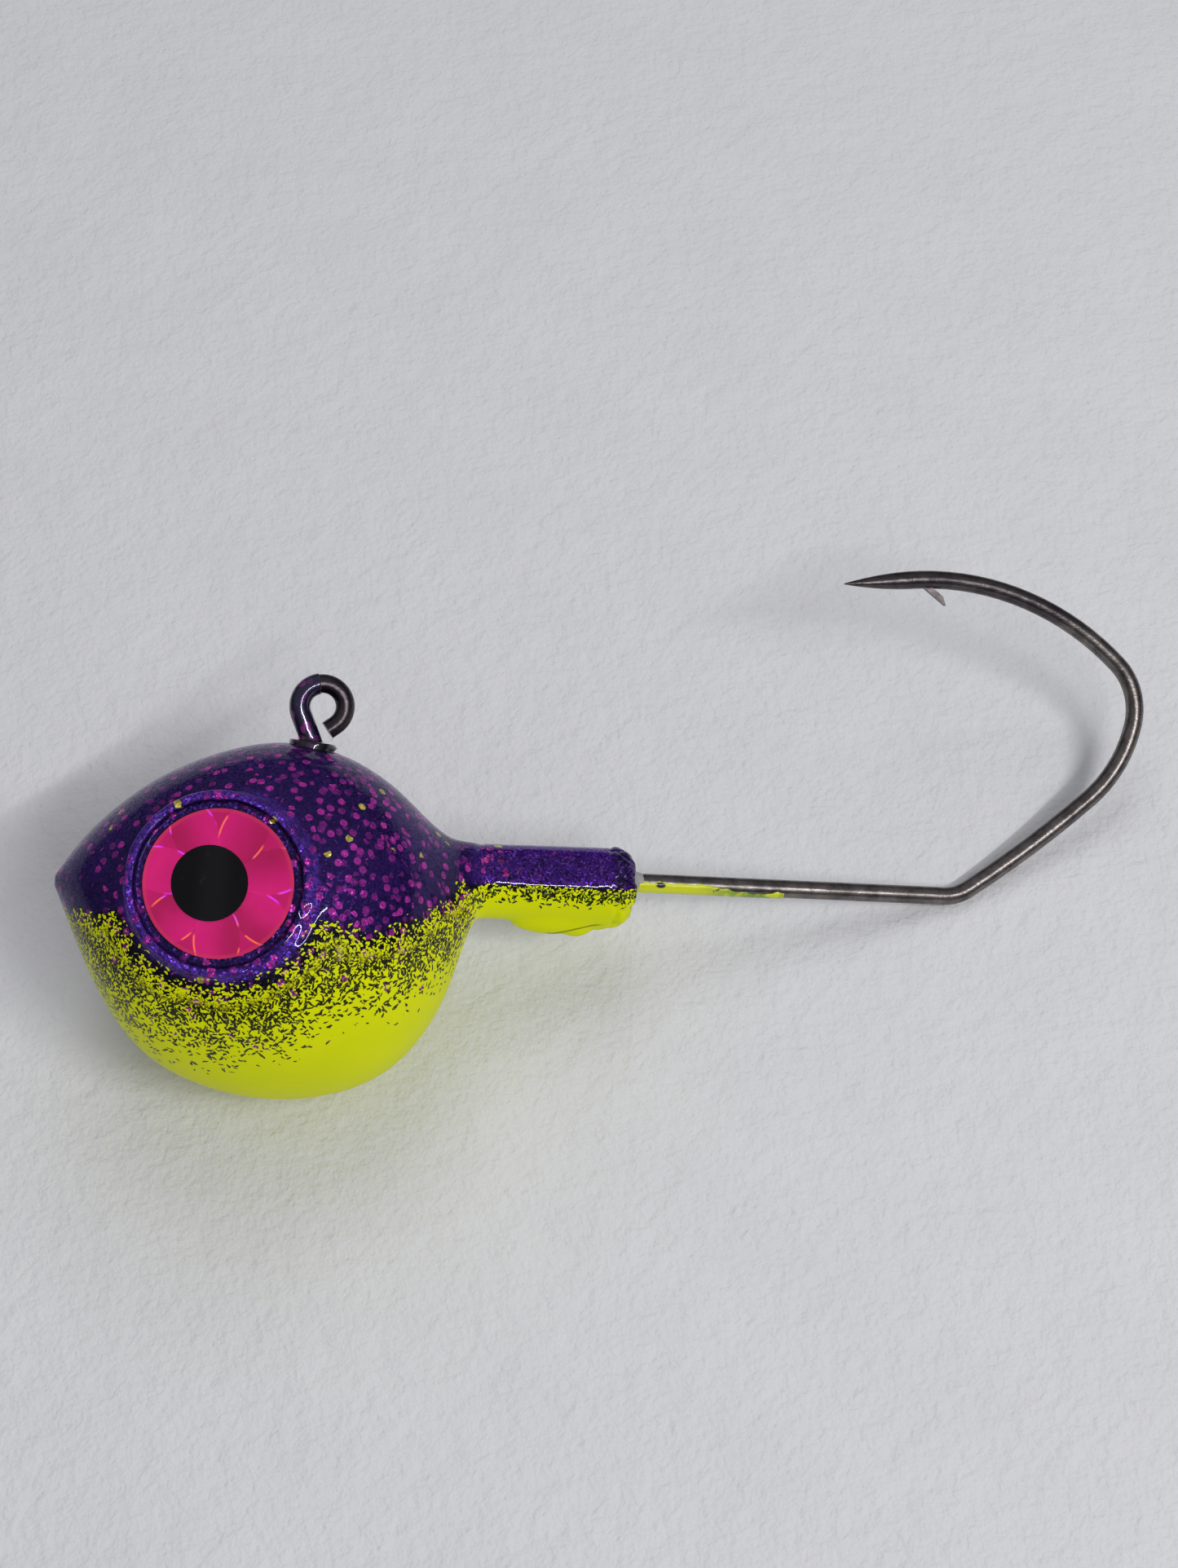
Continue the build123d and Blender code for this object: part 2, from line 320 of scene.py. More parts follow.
def stroke_layers(g, layers, share):
    """Strokes of several sizes, of which a share shows."""
    shown = 0.0
    for size, length, width, seed in layers:
        mask, lot = g.strokes(size, length, width, seed)
        shown = g.either(shown, g.both(mask, g.math("LESS_THAN", lot, share)))
    return shown


def yellow_cover(g, depth, waver):
    """Where the chartreuse shows, and the dark strokes in it."""
    patch = g.fade(g.noise(1.3, 3.0, 0.6), 0.3, 0.7, 0.55, 1.45)
    # dark strokes thin out downwards, and in the ink above them chartreuse strokes thin out upwards
    dark = stroke_layers(g, DARK_STROKES, g.both(g.fade(depth, 0.3, 4.9, 0.95, 0.0), patch))
    light = stroke_layers(g, LIGHT_STROKES, g.both(g.fade(depth, -0.5, 1.5, 0.0, 0.9), patch))
    in_ink = g.fade(g.math("ADD", depth, g.both(waver, 0.3)), 1.25, 0.65)
    shown = g.math("ADD", g.both(in_ink, light), g.both(g.rest(in_ink), g.rest(dark)))
    return g.both(shown, g.rest(g.fade(depth, -0.3, -0.7))), dark


def head_purple(g, depth, on_collar, eye_reach):
    """The purple, with more flakes behind the eye, a painted highlight in lighter purple on each socket rim's
    crest, and painted shade darkening the collar's folded end: colour and flakes.
    """
    behind = g.fade(g.x, 9.0, 14.0, 0.30, 0.62)
    off_collar = g.fade(g.x, 20.5, 22.5, 1.0, 0.22)
    amount = g.both(g.both(behind, off_collar), g.fade(depth, -0.2, 1.6, 1.0, 0.25))
    purple, flakes = flaked_purple(g, amount)
    bare = g.rest(flakes)
    # painted highlight: lighter purple along each socket rim's crest, on the flanks, where no flake lies
    inner = g.fade(eye_reach, RECESS_R, RECESS_R + 0.15)
    rim_highlight = g.both(inner, g.fade(eye_reach, RIM_R + 0.35, RIM_R + 0.05))
    flank = g.fade(g.math("ABSOLUTE", g.y), 4.0, 5.2)
    uneven = g.fade(g.noise(0.8, 3.0, 0.6), 0.35, 0.65, 0.35, 1.0)
    purple = g.mix(g.both(g.both(g.both(rim_highlight, flank), uneven), bare), purple, PURPLE_RIDGE_HIGHLIGHT)
    purple = g.mix(g.both(g.both(on_collar, 0.85), bare), purple, PURPLE_COLLAR)
    # painted shade: the folded end of the collar is darkened in noisy patches
    crumple_shade = g.both(g.fade(g.x, 27.1, 27.6), g.fade(g.noise(0.35, 3.0, 0.6), 0.40, 0.60, 0.9, 0.2))
    return g.mix(crumple_shade, purple, PURPLE_DEEP), flakes


def nub_crease_shade(g, waver):
    """Painted shade in the crease along the side of the nub, on one side only."""
    line = g.math("ADD", g.fade(g.x, 24.2, 27.0, -2.75, -2.15), g.both(waver, 0.05))
    beside = g.fade(g.math("ABSOLUTE", g.math("SUBTRACT", g.z, line)), 0.07, 0.015)
    span = g.both(g.fade(g.x, 24.1, 24.4), g.fade(g.x, 27.1, 26.6))
    return g.both(g.both(beside, span), g.fade(g.y, 0.0, -0.2, 0.0, 0.8))


def stem_pool(g, waver):
    """The black pool of paint round the line eye's stem."""
    from_stem = g.vector("MULTIPLY", g.vector("SUBTRACT", g.spot, POOL_MIDDLE), (0.87, 0.62, 1.7))
    return g.fade(g.math("ADD", g.vector("LENGTH", from_stem), g.both(waver, 0.08)), 1.06, 0.98)


def metal_grains(g, on_collar):
    """Fine metal grains, which line up on the collar: the way each one leans, and its tint."""
    _, lot, tint = g.cells(size=0.09, seed=5.0)
    lean = g.centred(tint)
    lined_up = g.vector("MULTIPLY", g.times(lean, on_collar), (1.9, 0.0, 0.0))
    speck = g.mix(lot, (0.45, 0.45, 0.5, 1), (1.9, 1.6, 1.7, 1))
    bright = g.both(on_collar, g.fade(lot, 0.75, 1.0))
    return g.vector("ADD", g.times(lean, 0.6), lined_up), g.mix(bright, speck, (5.0, 9.0, 2.6, 1))


def powder_coat():
    """The head's paint: purple over chartreuse, broken up into strokes where they meet."""
    g = Graph("powder_coat")
    on_collar = g.fade(g.x, 19.4, 21.4)
    waver = g.both(g.math("SUBTRACT", g.noise(2.2, 3.0, 0.65), 0.5), 2.4)
    from_eye = g.vector("SUBTRACT", g.spot, (EYE_X, 0, EYE_Z))
    eye_reach = g.vector("LENGTH", g.vector("MULTIPLY", from_eye, (1.0, 0.0, 1.0)))
    depth = purple_depth(g, on_collar, waver, eye_reach)
    yellow_shown, dark = yellow_cover(g, depth, waver)
    purple, flakes = head_purple(g, depth, on_collar, eye_reach)
    pool = stem_pool(g, waver)

    dark_colour = g.mix(g.fade(depth, 0.4, 2.2), INK, OLIVE)
    dark_colour = g.mix(g.fade(depth, 0.15, -0.45), dark_colour, purple)
    dark_colour = g.mix(g.both(flakes, 0.75), dark_colour, purple)
    yellow = g.mix(g.noise(3.5, 2.0), CHARTREUSE_DEEP, CHARTREUSE)
    colour = g.mix(yellow_shown, dark_colour, yellow)
    # painted shade along the crease beside the nub
    colour = g.mix(nub_crease_shade(g, waver), colour, CREASE_SHADE)
    colour = g.mix(pool, colour, INK)

    # each paint's own sheen: metal grains in the purple, satin in the chartreuse
    lean, speck = metal_grains(g, on_collar)
    lean = g.times(lean, g.both(g.rest(yellow_shown), g.rest(pool)))
    grained = g.mix(1.0, colour, speck, "MULTIPLY")
    colour = g.mix(g.fade(yellow_shown, 0.0, 1.0, 0.8, 0.0), colour, grained)
    peel = g.bump(g.noise(0.9, 2.0), 0.012)
    peel = g.bump(pool, 0.05, peel)
    pitted = g.bump(g.either(dark, g.noise(0.16, 2.0)), 0.006, peel)
    leaning = g.vector("NORMALIZE", g.vector("ADD", pitted, lean))
    metal = g.fade(yellow_shown, 0.0, 1.0, 0.5, 0.0)
    metal = g.either(metal, g.both(on_collar, g.fade(yellow_shown, 0.0, 1.0, 0.8, 0.0)))
    rough = g.math("ADD", g.fade(yellow_shown, 0.0, 1.0, 0.24, 0.42), g.both(g.noise(0.6), 0.1))
    coat = g.both(g.fade(yellow_shown, 0.0, 1.0, 0.6, 0.04), g.math("ADD", 1.0, g.both(on_collar, 0.6)))
    # the chartreuse gives off light of its own: painted light standing in for its fluorescence, which also
    # lights the floor under the head
    painted_glow = g.both(yellow_shown, FLUORESCENT_GLOW)
    return g.finish(Base_Color=colour, Metallic=metal, Roughness=rough, Normal=leaning, Coat_Weight=coat,
                    Coat_Roughness=0.04, Coat_Normal=peel, Coat_IOR=COAT_IOR, Specular_IOR_Level=0.1,
                    Specular_Tint=(0.45, 0.32, 0.62, 1.0),
                    Emission_Color=CHARTREUSE, Emission_Strength=painted_glow)


def wire_paint():
    """The purple on the line eye: thin on the loop, thick and black in the skirt."""
    g = Graph("wire_paint")
    purple, flakes = flaked_purple(g, 0.5)
    pooled = g.fade(g.z, 6.7, 6.3, 0.62, 0.95)
    colour = g.mix(g.both(pooled, g.rest(g.both(flakes, 0.5))), purple, INK)
    rough = g.math("ADD", 0.22, g.both(g.noise(0.3), 0.12))
    return g.finish(Base_Color=colour, Metallic=0.6, Roughness=rough, Normal=g.bump(g.noise(0.35), 0.02),
                    Coat_Weight=1.0, Coat_Roughness=0.03)


def black_nickel():
    """Plated hook wire: dark, with lengthways draw marks, mottling and rubbed spots."""
    g = Graph("black_nickel")
    drawn = g.vector("MULTIPLY", g.spot, (0.12, 1.0, 1.0))
    streaks = g.noise(0.12, 4.0, 0.6, drawn)
    mottle = g.noise(0.7, 4.0, 0.65)
    colour = g.mix(g.fade(mottle, 0.3, 0.7), NICKEL_DARK, NICKEL_LIGHT)
    rubbed = g.fade(g.noise(0.45, 5.0, 0.7), 0.60, 0.72)
    colour = g.mix(g.both(rubbed, 0.5), colour, NICKEL_RUBBED)
    # the line eye and the point are darker
    at_line_eye = g.both(g.fade(g.z, 5.0, 5.6), g.fade(g.x, 20.0, 18.0))
    at_point = g.both(g.fade(g.z, 14.2, 14.8), 0.7)
    colour = g.mix(g.both(g.either(at_line_eye, at_point), 0.75), colour, NICKEL_STAINED)
    rough = g.math("ADD", 0.20, g.both(streaks, 0.22))
    marks = g.bump(streaks, 0.010)
    pits = g.bump(g.noise(0.25), 0.008, marks)
    return g.finish(Base_Color=colour, Metallic=1.0, Roughness=rough, Normal=pits)


def run_paint():
    """The chartreuse run along the shank, greener where it thins out, with dirt and one dark chip."""
    g = Graph("run_paint")
    thin = g.fade(g.x, 31.5, 34.5)
    colour = g.mix(g.both(thin, g.fade(g.noise(0.8), 0.35, 0.6)), CHARTREUSE, (0.16, 0.30, 0.02, 1))
    dirt = g.fade(g.noise(0.35, 4.0, 0.7), 0.64, 0.70)
    colour = g.mix(dirt, colour, (0.02, 0.02, 0.01, 1))
    from_chip = g.vector("MULTIPLY", g.vector("SUBTRACT", g.spot, (29.95, -0.42, -0.05)), (0.7, 1.0, 1.3))
    colour = g.mix(g.fade(g.vector("LENGTH", from_chip), 0.24, 0.16), colour, (0.01, 0.008, 0.008, 1))
    return g.finish(Base_Color=colour, Roughness=g.math("ADD", 0.28, g.both(g.noise(0.2), 0.15)),
                    Normal=g.bump(g.noise(0.3), 0.02), Coat_Weight=0.5, Coat_Roughness=0.08)


def clear_resin():
    """The pale clear meniscus at the collar's end, milky in places."""
    g = Graph("clear_resin")
    low = g.fade(g.z, -0.15, -0.45)
    colour = g.mix(g.noise(0.4), (0.42, 0.42, 0.44, 1), (0.70, 0.70, 0.66, 1))
    colour = g.mix(low, colour, CHARTREUSE)
    return g.finish(Base_Color=colour, Roughness=g.math("ADD", 0.08, g.both(g.noise(0.3), 0.2)),
                    Normal=g.bump(g.noise(0.22), 0.03), Transmission_Weight=g.fade(low, 0.0, 1.0, 0.45, 0.0))


def bare_lead():
    g = Graph("bare_lead")
    colour = g.mix(g.noise(0.8, 4.0), (0.16, 0.165, 0.18, 1), (0.30, 0.31, 0.33, 1))
    return g.finish(Base_Color=colour, Metallic=0.9, Roughness=g.math("ADD", 0.45, g.both(g.noise(0.3), 0.2)),
                    Normal=g.bump(g.noise(0.3), 0.03))


def eye_graph(name, side_name):
    """A material drawn in one eye's own plane: X to the nose, Y up, Z out."""
    out = socket_out(SIDES[side_name])
    to_nose = Vector((-1, 0, 0))
    to_nose = (to_nose - out * to_nose.dot(out)).normalized()
    turn = Matrix((to_nose, out.cross(to_nose), out)) @ ROW_TO_JIG
    shift = turn @ (ROW_TO_JIG.transposed() @ (JIG_SHIFT - film_middle(side_name)))
    return Graph(f"{name}_{side_name}", turn, shift)


FACETS = 7
FACET_HUB_R = 2.9        # how far from the eye's middle each facet's arc has its own middle
FACET_ARC_R = 2.32


def foil_facets(g, colour):
    """Facets cut by arcs round the eye: the colour with their shading, and the glints on the arcs."""
    glint = 0.0
    for turn in range(FACETS):
        around = math.radians(turn * 360 / FACETS + 14)
        hub = (FACET_HUB_R * math.cos(around), FACET_HUB_R * math.sin(around), 0)
        gap = g.vector("LENGTH", g.vector("MULTIPLY", g.vector("SUBTRACT", g.spot, hub), (1, 1, 0)))
        inside = g.fade(gap, FACET_ARC_R + 0.03, FACET_ARC_R - 0.02)
        fall = g.both(inside, g.fade(gap, 0.6, FACET_ARC_R - 0.02, 0.0, 0.55))
        colour = g.mix(fall, colour, FACET_SHADES[turn % 2])
        broken = g.fade(g.noise(1.1, 1.0, where=g.vector("ADD", g.spot, (turn * 3.1, 0, 0))), 0.52, 0.62)
        beside = g.math("ABSOLUTE", g.math("SUBTRACT", gap, FACET_ARC_R))
        glint = g.either(glint, g.both(g.fade(beside, 0.075, 0.0), broken))
    return colour, glint


def eye_foil(side_name):
    """Hot pink foil, cut by arcs that leave curved facets and small glints of other colours."""
    g = eye_graph("eye_foil", side_name)
    reach = g.vector("LENGTH", g.vector("MULTIPLY", g.spot, (1, 1, 0)))
    colour = g.mix(g.noise(2.4, 1.0), FOIL_DEEP, FOIL_BRIGHT)
    colour, glint = foil_facets(g, colour)
    fire = g.mix(g.fade(g.noise(1.6, 0.0), 0.42, 0.58), GLINT_ORANGE, GLINT_VIOLET)
    colour = g.mix(glint, colour, fire)
    rim = g.fade(reach, FILM_R - 0.22, FILM_R - 0.12)
    colour = g.mix(g.both(rim, 0.6), colour, FOIL_RIM)
    drift = g.new("ShaderNodeTexNoise", Vector=g.spot, Scale=0.5).outputs["Color"]
    lean = g.times(g.centred(drift), 0.25)
    leaning = g.vector("NORMALIZE", g.vector("ADD", g.bump(g.noise(1.5), 0.01), lean))
    rough = g.math("ADD", 0.28, g.both(g.noise(0.5), 0.1))
    return g.finish(Base_Color=colour, Metallic=0.35, Roughness=rough, Normal=leaning,
                    Coat_Weight=0.25, Coat_Roughness=0.06, Specular_IOR_Level=0.2,
                    Emission_Color=colour, Emission_Strength=g.fade(glint, 0.0, 1.0, 0.0, 0.35))


def eye_ink(side_name):
    g = eye_graph("eye_ink", side_name)
    worn = g.fade(g.noise(0.5, 4.0, 0.7), 0.62, 0.70)
    sheen = g.fade(g.math("ABSOLUTE", g.math("SUBTRACT", g.x, 0.2)), 1.1, 0.2)
    colour = g.mix(g.both(sheen, 0.7), (0.004, 0.004, 0.005, 1), (0.009, 0.008, 0.010, 1))
    colour = g.mix(g.both(worn, 0.5), colour, (0.02, 0.02, 0.022, 1))
    return g.finish(Base_Color=colour, Roughness=g.math("ADD", 0.34, g.both(g.noise(0.3), 0.15)),
                    Normal=g.bump(g.noise(0.2), 0.004), Specular_IOR_Level=0.08)


def glue_foam(side_name):
    g = eye_graph("glue_foam", side_name)
    colour = g.mix(g.noise(0.2), (0.55, 0.52, 0.52, 1), (0.72, 0.70, 0.70, 1))
    return g.finish(Base_Color=colour, Roughness=g.math("ADD", 0.6, g.both(g.noise(0.2), 0.2)),
                    Normal=g.bump(g.noise(0.12), 0.02))


# ---------------------------------------------------------------- meshes
SKIN_VOXEL, WIRE_PAINT_VOXEL = 0.1, 0.045
VOXEL_SMOOTHING = (0.5, -0.52, 0.5, -0.52)      # in and out again, so that the shape keeps its size
NECK_FOLD_X, END_RING_X = 20.7, 27.35
NUB_TOP_Z = -1.0         # the nub hangs below this


def smoothed(points, edges, weights, rounds, step):
    """Points moved towards their neighbours' average, by their own weight."""
    count = np.bincount(edges.ravel(), minlength=len(points))[:, None]
    for _ in range(rounds):
        total = np.zeros_like(points)
        for axis in range(3):
            total[:, axis] = (np.bincount(edges[:, 0], points[edges[:, 1], axis], len(points))
                              + np.bincount(edges[:, 1], points[edges[:, 0], axis], len(points)))
        points = points + (total / np.maximum(count, 1) - points) * weights[:, None] * step
    return points


def smoothstep(values, low, high):
    share = np.clip((values - low) / (high - low), 0, 1)
    return share * share * (3 - 2 * share)


def read_points(mesh):
    points = np.zeros(len(mesh.vertices) * 3)
    mesh.vertices.foreach_get("co", points)
    return points.reshape(-1, 3)


def write_points(mesh, points):
    mesh.vertices.foreach_set("co", points.ravel())
    mesh.update()


def remeshed(name, nodes, voxel, rods=()):
    """One even skin round several CAD nodes, in the jig's frame. Rods (start, end, radius) fill bores."""
    shape = bmesh.new()
    for node in nodes:
        shape.from_mesh(frame["nodes"][node].data)
    source = bpy.data.meshes.new(name)
    shape.to_mesh(source)
    shape.free()
    write_points(source, to_jig(read_points(source)))
    shape = bmesh.new()
    shape.from_mesh(source)
    for start, end, radius in rods:
        run = end - start
        place = Matrix.Translation((start + end) / 2) @ run.to_track_quat("Z", "Y").to_matrix().to_4x4()
        bmesh.ops.create_cone(shape, cap_ends=True, segments=32, radius1=radius, radius2=radius,
                              depth=run.length, matrix=place)
    shape.to_mesh(source)
    shape.free()
    piece = link(bpy.data.objects.new(name, source))
    remesh = piece.modifiers.new("remesh", "REMESH")
    remesh.mode, remesh.voxel_size = "VOXEL", voxel
    bpy.context.view_layer.update()
    made = bpy.data.meshes.new_from_object(piece.evaluated_get(bpy.context.evaluated_depsgraph_get()))
    piece.modifiers.clear()
    piece.data = made
    bpy.data.meshes.remove(source)
    made.name = name
    return piece


def settle(piece, points, material, slot, *nodes):
    write_points(piece.data, to_row(points))
    piece.data.shade_smooth()
    piece.data.materials.clear()
    piece.data.materials.append(material)
    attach(piece, "root")
    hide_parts(*nodes)


def edge_pairs(mesh):
    pairs = np.zeros(len(mesh.edges) * 2, int)
    mesh.edges.foreach_get("vertices", pairs)
    return pairs.reshape(-1, 2)


def normals_of(mesh):
    normals = np.zeros(len(mesh.vertices) * 3)
    mesh.vertex_normals.foreach_get("vector", normals)
    return normals.reshape(-1, 3)


def eye_distance(points, side_name):
    """How far points are from one eye's own axis."""
    out = np.array(socket_out(SIDES[side_name]))
    offset = points - np.array(film_middle(side_name))
    height = offset @ out
    return np.linalg.norm(offset - height[:, None] * out, axis=1)


def rumple(points, size, seed):
    """Smooth noise at points, from about -1 to 1."""
    return np.array([noise.noise(Vector(point) / size + Vector((seed, 0, 0))) for point in points])


def soften_skin(points, edges):
    """Takes off the voxels' steps, then softens the neck, the nub and the foot of each socket's rim."""
    everywhere = np.ones(len(points))
    for step in VOXEL_SMOOTHING:
        points = smoothed(points, edges, everywhere, rounds=1, step=step)
    soft = smoothstep(points[:, 0], 20.2, 21.0) * smoothstep(points[:, 0], 23.0, 21.6)
    nub = (smoothstep(points[:, 0], 21.4, 22.4) * smoothstep(points[:, 0], 27.6, 26.8)
           * smoothstep(points[:, 2], -0.9, -1.3))
    beside_nub = nub * smoothstep(np.abs(points[:, 1]), 0.25, 0.6)
    soft = np.maximum(soft, nub * 0.35)
    for side_name, side in SIDES.items():
        reach = eye_distance(points, side_name)
        near = smoothstep(points[:, 1] * side, 1.0, 3.0)
        foot = smoothstep(reach, RIM_R - 0.12, RIM_R + 0.05) * smoothstep(reach, RIM_R + 1.0, RIM_R + 0.6)
        soft = np.maximum(soft, foot * near)
    points = smoothed(points, edges, soft, rounds=14, step=0.6)
    return smoothed(points, edges, beside_nub, rounds=45, step=0.6)


def rim_waves(points):
    """How far the socket rims rise and dip."""
    push = np.zeros(len(points))
    for side_name, side in SIDES.items():
        reach = eye_distance(points, side_name)
        rim = (smoothstep(reach, RECESS_R - 0.25, RECESS_R) * smoothstep(reach, RIM_R + 0.5, RIM_R)
               * smoothstep(points[:, 1] * side, 2.0, 3.0))
        picked = rim > 0
        push[picked] += rim[picked] * (0.05 * rumple(points[picked], size=0.9, seed=4.0) - 0.03)
    return push


def collar_end_folds(points, turned):
    """Folds in the film at the collar's end, and the dip that rings it."""
    push = np.zeros(len(points))
    end = smoothstep(points[:, 0], 27.0, 27.5)
    picked = end > 0
    folds = np.stack([points[:, 0] * 0.8, np.cos(turned) * 1.5, np.sin(turned) * 1.5], axis=1)
    crease = 1 - np.abs(rumple(folds[picked], size=0.50, seed=9.0)) * 3.0
    push[picked] += end[picked] * (0.07 - 0.13 * np.clip(crease, 0, 1))
    ring = np.exp(-((points[:, 0] - END_RING_X - 0.12 * np.sin(turned * 2)) / 0.13) ** 2)
    return push - ring * 0.07 * (points[:, 0] > 26.5)


def neck_and_tail(points, turned):
    """The neck's shallow fold, and the nub's tail, which runs on to the collar's end."""
    neck = np.exp(-((points[:, 0] - NECK_FOLD_X - 0.15 * np.sin(turned * 3)) / 0.16) ** 2)
    tail = (smoothstep(points[:, 0], 24.9, 26.0) * smoothstep(points[:, 0], 28.2, 26.8)
            * np.exp(-(points[:, 1] / 0.9) ** 2) * (points[:, 2] < NUB_TOP_Z))
    return tail * 0.3 - neck * 0.05


def make_skin():
    """The powder coat: both colours as one skin, softened where shapes meet, rumpled at the collar's end."""
    bend = Vector((SHANK_BEND_START, 0, 0))
    rods = ((bend, Vector((COLLAR_END - 0.06, 0, 0)), 0.8), (bend, STEM_TOP, 0.7))
    skin = remeshed("powder_coat", ("purple_coat", "chartreuse_coat", "lead_head"), SKIN_VOXEL, rods)
    points = soften_skin(read_points(skin.data), edge_pairs(skin.data))
    write_points(skin.data, points)
    turned = np.arctan2(points[:, 1], points[:, 2] - COLLAR_Z)
    push = rim_waves(points) + collar_end_folds(points, turned) + neck_and_tail(points, turned)
    points = points + normals_of(skin.data) * push[:, None]
    settle(skin, points, powder_coat(), "purple_coat", "purple_coat", "chartreuse_coat")


def tube_round_wire(name, start, stop, steps, around, radius_at):
    """A closed tube about the shank, whose radius is given along it and around it."""
    shape = bmesh.new()
    rings = []
    for step in range(steps + 1):
        x = start + (stop - start) * step / steps
        ring = []
        for turn in range(around):
            angle = 2 * math.pi * turn / around
            radius = radius_at(x, angle)
            ring.append(shape.verts.new((x, radius * math.sin(angle), radius * math.cos(angle))))
        rings.append(ring)
    for ring, after in zip(rings, rings[1:]):
        for turn in range(around):
            following = (turn + 1) % around
            shape.faces.new((ring[turn], ring[following], after[following], after[turn]))
    shape.faces.new(rings[0][::-1])
    shape.faces.new(rings[-1])
    bmesh.ops.recalc_face_normals(shape, faces=shape.faces)
    mesh = bpy.data.meshes.new(name)
    shape.to_mesh(mesh)
    shape.free()
    return link(bpy.data.objects.new(name, mesh))


def make_run():
    """The chartreuse run under the shank: a film that dives under the wire's surface where it stops."""
    hidden, proud = WIRE_R - 0.03, WIRE_R + 0.055
    start, solid_end, stop = COLLAR_END + 0.3, 32.6, 36.5

    def radius_at(x, angle):
        spot = Vector((x / 0.55, math.sin(angle) * 1.1, math.cos(angle) * 1.1))
        waver = noise.noise(spot) + 0.5 * noise.noise(spot * 2.3)
        lowness = -math.cos(angle)
        reach = 0.15 + 0.35 * waver + lowness
        if x > solid_end:
            patch = max(0.0, noise.noise(spot * 0.9 + Vector((7, 0, 0))))
            reach -= 0.25 + (x - solid_end) * 0.22 - 0.9 * patch
        share = min(max(reach / 0.25 + 0.5, 0.0), 1.0)
        return hidden + (proud - hidden) * share * share * (3 - 2 * share)

    run = tube_round_wire("shank_run", start, stop, steps=150, around=48, radius_at=radius_at)
    settle(run, read_points(run.data), run_paint(), "chartreuse_coat", "shank_paint")


def make_meniscus():
    """The meniscus: it climbs off the wire in a hollow curve and meets the collar's end."""
    start, stop, wide = COLLAR_END - 0.25, COLLAR_END + 0.85, 0.92

    def radius_at(x, angle):
        share = (x - start) / (stop - start)
        lumps = 0.06 * noise.noise(Vector((x * 2, math.sin(angle) * 2, math.cos(angle) * 2))) * (1 - share)
        return WIRE_R - 0.02 + (wide - WIRE_R) * (1 - share) ** 2.2 + lumps

    meniscus = tube_round_wire("paint_meniscus", start, stop, steps=28, around=64, radius_at=radius_at)
    settle(meniscus, read_points(meniscus.data), clear_resin(), "clear_resin", "shank_meniscus")


def make_wire_paint():
    """The line eye's paint, with its skirt blended into the stem."""
    skirt = [(Vector((11.95, 0, 5.7)), Vector((12.0, 0, 6.24)), 1.12)]
    paint = remeshed("line_eye_coat", ("line_eye_paint",), WIRE_PAINT_VOXEL, skirt)
    points, edges = read_points(paint.data), edge_pairs(paint.data)
    joint = smoothstep(points[:, 2], 7.0, 6.7)
    points = smoothed(points, edges, 0.1 + 0.9 * joint, rounds=10, step=0.5)
    settle(paint, points, wire_paint(), "purple_coat", "line_eye_paint")


def dress(node, material):
    """Gives a CAD node, whose shape is already right, its own finish."""
    mesh = frame["nodes"][node].data
    mesh.materials.clear()
    mesh.materials.append(material)


make_skin()
make_wire_paint()
make_run()
make_meniscus()
dress("hook", black_nickel())
dress("lead_head", bare_lead())
for side_name in SIDES:
    dress(f"{side_name}_eye_film", eye_foil(side_name))
    dress(f"{side_name}_eye_pupil", eye_ink(side_name))
    dress(f"{side_name}_eye_adhesive", glue_foam(side_name))


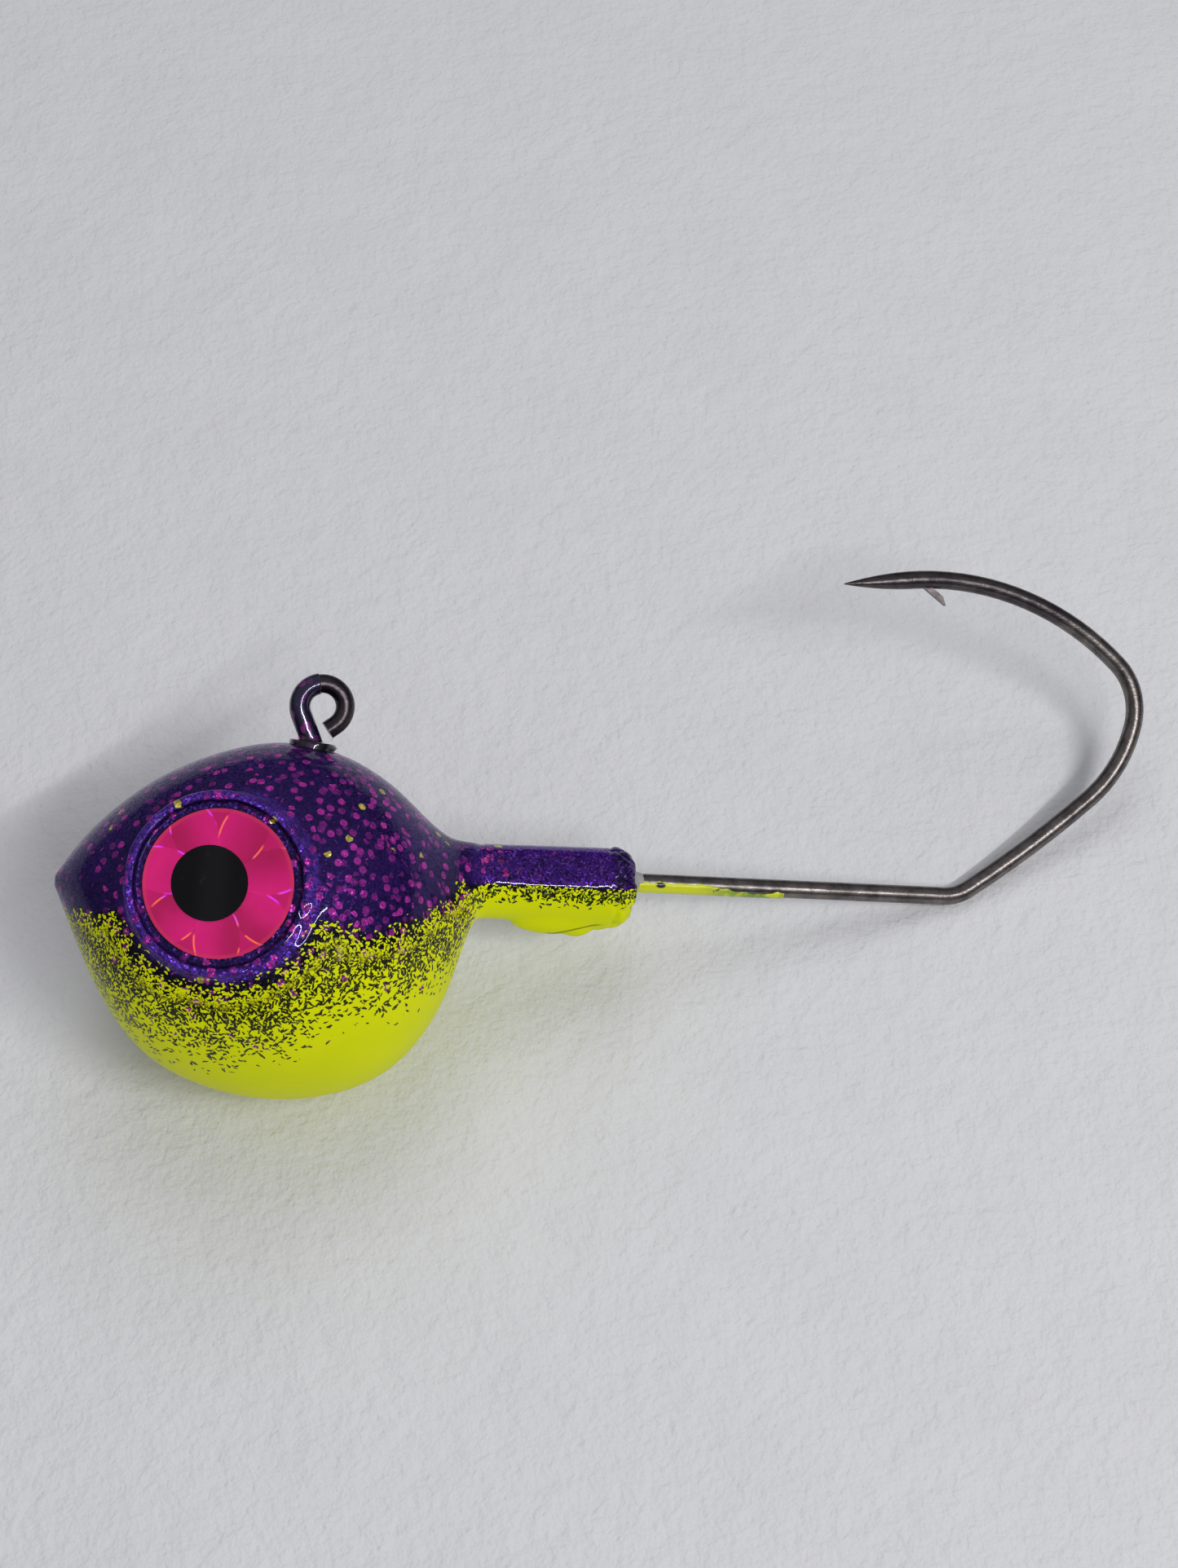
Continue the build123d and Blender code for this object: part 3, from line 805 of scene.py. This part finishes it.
# ---------------------------------------------------------------- floor and light
def make_floor():
    """A pale floor with the faint tooth of pressed cloth."""
    half = 3.0
    mesh = bpy.data.meshes.new("floor")
    corners = [(-half, -half, 0), (half, -half, 0), (half, half, 0), (-half, half, 0)]
    mesh.from_pydata(corners, [], [(0, 1, 2, 3)])
    floor = link(bpy.data.objects.new("floor", mesh))
    g = Graph("pale_cloth", Matrix.Identity(3), Vector((0, 0, 0)))
    colour = g.mix(g.noise(6.0, 3.0), (0.66, 0.66, 0.68, 1), (0.72, 0.72, 0.735, 1))
    nap = g.bump(g.noise(1.3, 3.0, 0.6), 0.22)
    tooth = g.bump(g.noise(0.35, 2.0), 0.06, nap)
    mesh.materials.append(g.finish(Base_Color=colour, Roughness=0.9, Normal=tooth))


def area_light(name, azimuth, elevation, distance, width, height, power, colour=(1, 1, 1)):
    """A flat lamp that faces the jig."""
    lamp = bpy.data.lights.new(name, "AREA")
    lamp.shape, lamp.size, lamp.size_y = "RECTANGLE", width, height
    lamp.energy, lamp.color = power, colour
    place = link(bpy.data.objects.new(name, lamp))
    place.location = direction(azimuth, elevation) * distance
    place.rotation_mode = "QUATERNION"
    place.rotation_quaternion = (-place.location).to_track_quat("-Z", "Y")
    return place


def make_world():
    """An even pale room, a little darker towards the horizon."""
    world = bpy.data.worlds.new("room")
    world.use_nodes = True
    tree = world.node_tree
    sky = tree.nodes["Background"]
    coords = tree.nodes.new("ShaderNodeTexCoord")
    height = tree.nodes.new("ShaderNodeSeparateXYZ")
    ramp = tree.nodes.new("ShaderNodeValToRGB")
    tree.links.new(coords.outputs["Generated"], height.inputs["Vector"])
    tree.links.new(height.outputs["Z"], ramp.inputs["Fac"])
    tree.links.new(ramp.outputs["Color"], sky.inputs["Color"])
    dim, pale = ramp.color_ramp.elements
    dim.position, dim.color = 0.10, (0.05, 0.05, 0.055, 1)
    pale.position, pale.color = 0.75, (0.62, 0.62, 0.66, 1)
    sky.inputs["Strength"].default_value = 0.52
    bpy.context.scene.world = world


make_floor()
make_world()
# the soft key shapes the form, and a thin strip lamp makes the glints in the paint
key = area_light("key", azimuth=50.0, elevation=52.0, distance=0.42, width=0.12, height=0.12, power=0.36)
key.visible_glossy = False
area_light("strip", azimuth=34.0, elevation=50.0, distance=0.40, width=0.22, height=0.008, power=0.56)
softbox = area_light("softbox", azimuth=175.0, elevation=56.0, distance=0.42, width=0.25, height=0.25,
                     power=0.42, colour=(0.95, 0.97, 1.0))
softbox.visible_glossy = False
bpy.context.scene.view_settings.view_transform = "Standard"
